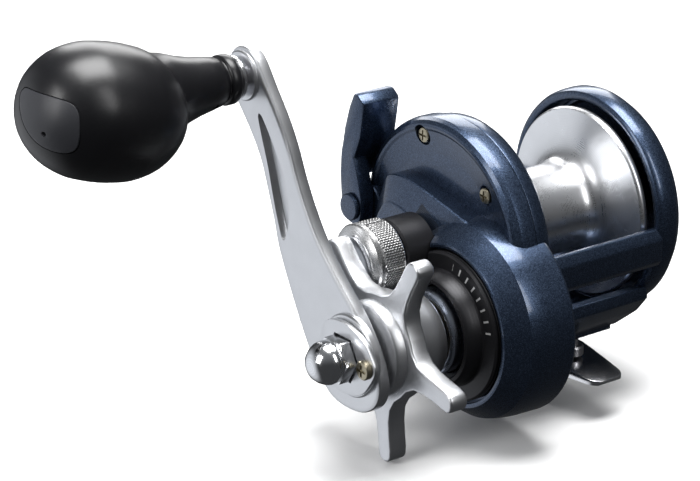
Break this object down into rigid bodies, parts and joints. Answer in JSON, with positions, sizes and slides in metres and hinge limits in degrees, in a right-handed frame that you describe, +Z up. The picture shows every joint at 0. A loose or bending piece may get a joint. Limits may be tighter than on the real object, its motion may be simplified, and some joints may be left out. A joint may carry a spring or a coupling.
{
  "type": "star drag trolling reel",
  "caption": "Conventional fishing reel: spool in a one-piece blue frame, side gear housing, star drag wheel, curved handle arm with a large black power knob, thumb clutch lever and rod foot.",
  "frame": {"origin": "middle of the flat seat under the rod foot", "axes": "+X along the spool axle towards the handle, +Y forward where the line leaves, +Z up from the rod"},
  "size_m": [0.197, 0.1076, 0.1265],
  "materials": {
    "blue_paint": "semi-gloss metallic flake",
    "spool_metal": "polished, fine turned",
    "arm_metal": "satin, bright edges",
    "star_metal": "satin",
    "black_metal": "satin black anodised",
    "steel": "machined",
    "polished_steel": "bright",
    "brass": "machined",
    "knob_rubber": "fine matte",
    "end_plate_plastic": "satin",
    "carbon_washer": "woven carbon"
  },
  "bodies": {
    "frame": {"reel_frame": "blue_paint", "rod_foot": "polished_steel", "foot_screw_front": "steel", "foot_screw_rear": "steel", "left_side_cover": "blue_paint", "left_spool_bearing": "steel", "left_cover_screw_1": "steel", "left_cover_screw_2": "steel", "left_cover_screw_3": "steel", "handle_side_plate": "blue_paint", "side_plate_screw_1": "brass", "side_plate_screw_2": "brass", "bridge_plate": "steel", "anti_reverse_bearing": "steel", "gear_housing_ring": "black_metal", "housing_seal_ring": "star_metal", "cast_control_post": "black_metal", "right_spool_bearing": "steel", "lever_pivot_screw": "blue_paint", "yoke_spring_1": "steel", "yoke_spring_2": "steel"},
    "spool": {"line_spool": "spool_metal", "spool_axle": "steel"},
    "yoke": {"clutch_yoke": "brass"},
    "pinion": {"pinion_gear": "brass"},
    "clutch_cam_ring": {"clutch_cam": "steel"},
    "lever": {"clutch_lever": "blue_paint"},
    "drive": {"drive_shaft": "steel", "main_gear": "brass", "drag_washer_inner": "carbon_washer", "drag_washer_keyed": "steel", "drag_washer_outer": "carbon_washer", "drag_pressure_plate": "steel", "tension_spring_washer": "steel", "handle_arm": "arm_metal", "handle_nut": "polished_steel", "nut_retainer": "arm_metal", "nut_retainer_screw": "brass", "knob_spindle": "steel", "knob_washer": "polished_steel"},
    "star": {"star_drag_wheel": "star_metal", "star_nut": "brass"},
    "knob": {"knob_grip": "knob_rubber", "knob_end_plate": "end_plate_plastic", "knob_bushing_inner": "brass", "knob_set_screw": "steel"},
    "cast_control": {"cast_control_knob": "star_metal", "cast_control_cap": "star_metal", "cast_control_friction_disc": "brass"}
  },
  "joints": [
    {"name": "handle_spin", "type": "hinge", "parent": "frame", "child": "drive", "pos_m": [0, 0.02, 0.0243], "axis": [1, 0, 0], "continuous": true},
    {"name": "spool_spin", "type": "hinge", "parent": "frame", "child": "spool", "pos_m": [0, 0, 0.043], "axis": [1, 0, 0], "continuous": true},
    {"name": "yoke_slide", "type": "slide", "parent": "frame", "child": "yoke", "axis": [1, 0, 0], "range_m": [0, 0.0018], "deforming": ["yoke_spring_1", "yoke_spring_2"]},
    {"name": "pinion_spin", "type": "hinge", "parent": "yoke", "child": "pinion", "pos_m": [0, 0, 0.043], "axis": [1, 0, 0], "continuous": true},
    {"name": "cam_turn", "type": "hinge", "parent": "frame", "child": "clutch_cam_ring", "pos_m": [0, 0, 0.043], "axis": [1, 0, 0], "range_deg": [-24, 0]},
    {"name": "clutch_lever_turn", "type": "hinge", "parent": "frame", "child": "lever", "pos_m": [0, -0.0354, 0.0444], "axis": [1, 0, 0], "range_deg": [0, 24]},
    {"name": "star_drag_turn", "type": "hinge", "parent": "drive", "child": "star", "pos_m": [0, 0.02, 0.0243], "axis": [1, 0, 0], "range_deg": [-180, 180]},
    {"name": "knob_spin", "type": "hinge", "parent": "drive", "child": "knob", "pos_m": [0, -0.0327, 0.0955], "axis": [1, 0, 0], "continuous": true},
    {"name": "cast_control_turn", "type": "hinge", "parent": "frame", "child": "cast_control", "pos_m": [0, 0, 0.043], "axis": [1, 0, 0], "range_deg": [-180, 180]}
  ],
  "couplings": [
    {"joint": "spool_spin", "follows": "handle_spin", "ratio": -5.2727},
    {"joint": "pinion_spin", "follows": "handle_spin", "ratio": -5.2727},
    {"joint": "cam_turn", "follows": "clutch_lever_turn", "ratio": -1},
    {"joint": "yoke_slide", "follows": "clutch_lever_turn", "m_per_rad": 0.0042972}
  ]
}
